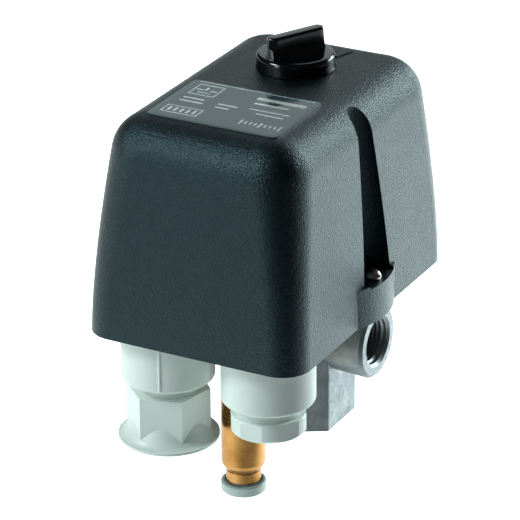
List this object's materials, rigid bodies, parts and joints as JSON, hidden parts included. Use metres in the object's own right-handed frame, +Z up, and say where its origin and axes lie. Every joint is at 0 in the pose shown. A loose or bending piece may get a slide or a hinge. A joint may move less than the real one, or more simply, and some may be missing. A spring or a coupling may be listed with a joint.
{
  "type": "pressure switch",
  "caption": "Compressor pressure switch: tapered hood with wing knob, grey base with cable glands, ported die-cast flange and brass unloader valve.",
  "frame": {"origin": "centre of the main threaded port, at its mouth in the flange's bottom face", "axes": "+Z up along the main port's axis towards the knob, +X towards the right-hand side port, -Y towards the cable glands"},
  "size_m": [0.069, 0.0921, 0.123],
  "materials": {
    "hood_plastic": "leather-grained",
    "knob_plastic": "gloss",
    "label_foil": "semi-gloss print",
    "screw_nickel": "nickel plated",
    "steel_zinc": "zinc plated",
    "spring_steel": "drawn wire",
    "base_plastic": "moulded",
    "ring_plastic": "moulded",
    "seal_rubber": "moulded",
    "cast_alloy": "die-cast",
    "brass": "turned",
    "black_moulding": "moulded",
    "mechanism_plastic": "moulded",
    "contact_copper": "stamped"
  },
  "bodies": {
    "base": {"base_housing": "base_plastic", "left_gland": "base_plastic", "right_gland": "base_plastic", "gland_washers": "steel_zinc", "gland_seals": "seal_rubber", "pressure_flange": "cast_alloy", "flange_screws": "steel_zinc", "diaphragm": "seal_rubber", "valve_body": "brass", "valve_nut": "brass", "tube_seal": "seal_rubber", "valve_spring": "spring_steel", "mechanism_frame": "steel_zinc", "frame_screws": "steel_zinc", "lever_pin": "steel_zinc", "carrier_pins": "steel_zinc", "range_spring": "spring_steel", "contact_block": "black_moulding", "block_screws": "steel_zinc", "fixed_contacts": "contact_copper", "contact_springs": "spring_steel", "terminal_clamps": "steel_zinc", "terminal_screws": "screw_nickel", "earth_plate": "steel_zinc", "earth_screws": "screw_nickel"},
    "hood": {"hood_shell": "hood_plastic", "rating_label": "label_foil", "hood_screws": "screw_nickel"},
    "knob": {"selector_knob": "knob_plastic", "knob_clip": "spring_steel"},
    "cam": {"selector_cam": "mechanism_plastic", "cam_clip": "spring_steel"},
    "off_slide": {"off_slide": "black_moulding"},
    "lever": {"main_lever": "steel_zinc", "lower_spring_seat": "steel_zinc"},
    "plunger": {"plunger": "black_moulding"},
    "carrier": {"contact_carrier": "mechanism_plastic"},
    "bridges": {"contact_bridges": "contact_copper"},
    "vent_pin": {"vent_pin": "brass", "vent_seal": "seal_rubber"},
    "spring_plate": {"upper_spring_plate": "steel_zinc"},
    "range_screw": {"range_screw": "steel_zinc"},
    "release_ring": {"release_ring": "ring_plastic"}
  },
  "joints": [
    {"name": "hood_lift", "type": "slide", "parent": "base", "child": "hood", "axis": [0, 0, 1], "range_m": [0, 0.08]},
    {"name": "knob_turn", "type": "hinge", "parent": "hood", "child": "knob", "pos_m": [0, 0, 0.1023], "axis": [0, 0, 1], "range_deg": [0, 54]},
    {"name": "cam_turn", "type": "hinge", "parent": "base", "child": "cam", "pos_m": [0, 0, 0.085], "axis": [0, 0, 1], "range_deg": [0, 54]},
    {"name": "off_push", "type": "slide", "parent": "base", "child": "off_slide", "axis": [0, -1, 0], "range_m": [0, 0.0017]},
    {"name": "lever_tilt", "type": "hinge", "parent": "base", "child": "lever", "pos_m": [0, 0.019, 0.057], "axis": [-1, 0, 0], "range_deg": [0, 3.62], "stiffness_Nm_per_rad": 0.5, "springref_deg": -17.19, "deforming": ["range_spring"]},
    {"name": "plunger_lift", "type": "slide", "parent": "base", "child": "plunger", "axis": [0, 0, 1], "range_m": [0, 0.00125]},
    {"name": "carrier_rock", "type": "hinge", "parent": "base", "child": "carrier", "pos_m": [0, -0.02, 0.06], "axis": [1, 0, 0], "range_deg": [0, 8.3]},
    {"name": "bridge_drop", "type": "slide", "parent": "base", "child": "bridges", "axis": [0, 0, -1], "range_m": [0, 0.0016], "deforming": ["contact_springs"]},
    {"name": "vent_press", "type": "slide", "parent": "base", "child": "vent_pin", "axis": [0, 0, -1], "range_m": [0, 0.0016], "deforming": ["valve_spring"]},
    {"name": "range_lift", "type": "slide", "parent": "base", "child": "spring_plate", "axis": [0, 0, -1], "range_m": [-0.0016, 0.0024], "deforming": ["range_spring"]},
    {"name": "range_adjust", "type": "hinge", "parent": "spring_plate", "child": "range_screw", "pos_m": [0, -0.016, 0.08], "axis": [0, 0, -1], "range_deg": [-720.1, 1080.1]},
    {"name": "release_press", "type": "slide", "parent": "base", "child": "release_ring", "axis": [0, 0, 1], "range_m": [0, 0.001], "stiffness_N_per_m": 300, "springref_m": -0.002}
  ],
  "couplings": [
    {"joint": "cam_turn", "follows": "knob_turn", "ratio": 1},
    {"joint": "off_push", "follows": "knob_turn", "m_per_rad": 0.001708},
    {"joint": "plunger_lift", "follows": "lever_tilt", "m_per_rad": 0.019},
    {"joint": "carrier_rock", "follows": "lever_tilt", "ratio": 2.25},
    {"joint": "bridge_drop", "follows": "lever_tilt", "m_per_rad": 0.02475},
    {"joint": "vent_press", "follows": "lever_tilt", "m_per_rad": 0.0243},
    {"joint": "range_adjust", "follows": "range_lift", "rad_per_m": 7854}
  ]
}
